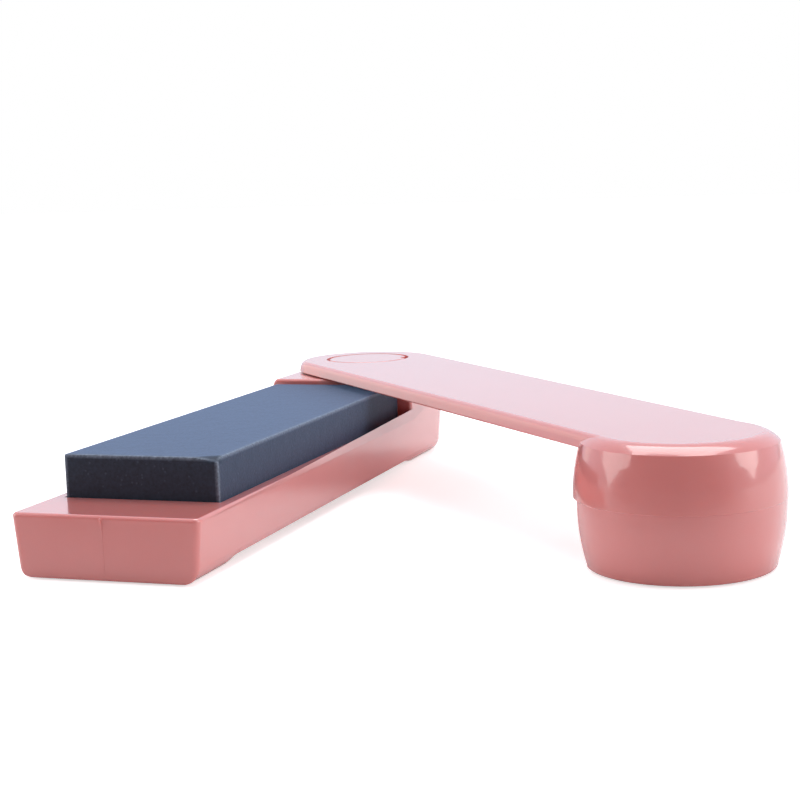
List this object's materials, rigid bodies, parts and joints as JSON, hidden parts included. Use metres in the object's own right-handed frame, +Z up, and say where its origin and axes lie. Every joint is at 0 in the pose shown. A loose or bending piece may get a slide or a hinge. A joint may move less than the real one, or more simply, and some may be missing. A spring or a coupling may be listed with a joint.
{
  "type": "whetstone with swivel cover",
  "caption": "Dark abrasive sharpening stone bedded in a long pink moulded tray, with a flat swivel arm that covers the stone and ends in a round barrel-shaped knob.",
  "frame": {"origin": "on the table, under the pivot axis at the tray's rear end, at the middle of the rear foot's flat face", "axes": "+Z up along the pivot axis, -Y along the tray from the pivot to its front end, +X to the side that the arm is swung out to"},
  "size_m": [0.1275, 0.1495, 0.023],
  "materials": {
    "pink_abs": "glossy moulded ABS, dusty pink",
    "abrasive_stone": "fine sintered silicon carbide, matt, dark blue-grey",
    "foam_tape": "closed-cell foam tape",
    "nylon": "natural nylon",
    "steel": "zinc-plated steel",
    "foot_rubber": "matt moulded rubber"
  },
  "bodies": {
    "base": {"base_tray": "pink_abs", "whetstone": "abrasive_stone", "bed_tape_front": "foam_tape", "bed_tape_rear": "foam_tape", "thrust_washer": "nylon", "pivot_washer": "steel", "pivot_screw": "steel", "front_left_foot": "foot_rubber", "front_right_foot": "foot_rubber", "rear_foot": "foot_rubber"},
    "arm": {"swivel_arm": "pink_abs", "pivot_cap": "pink_abs", "knob_base": "pink_abs", "knob_screw_left": "steel", "knob_screw_right": "steel", "knob_foot": "foot_rubber"}
  },
  "joints": [
    {"name": "arm_swivel", "type": "hinge", "parent": "base", "child": "arm", "pos_m": [0, 0, 0.017], "axis": [0, 0, 1], "continuous": true}
  ]
}
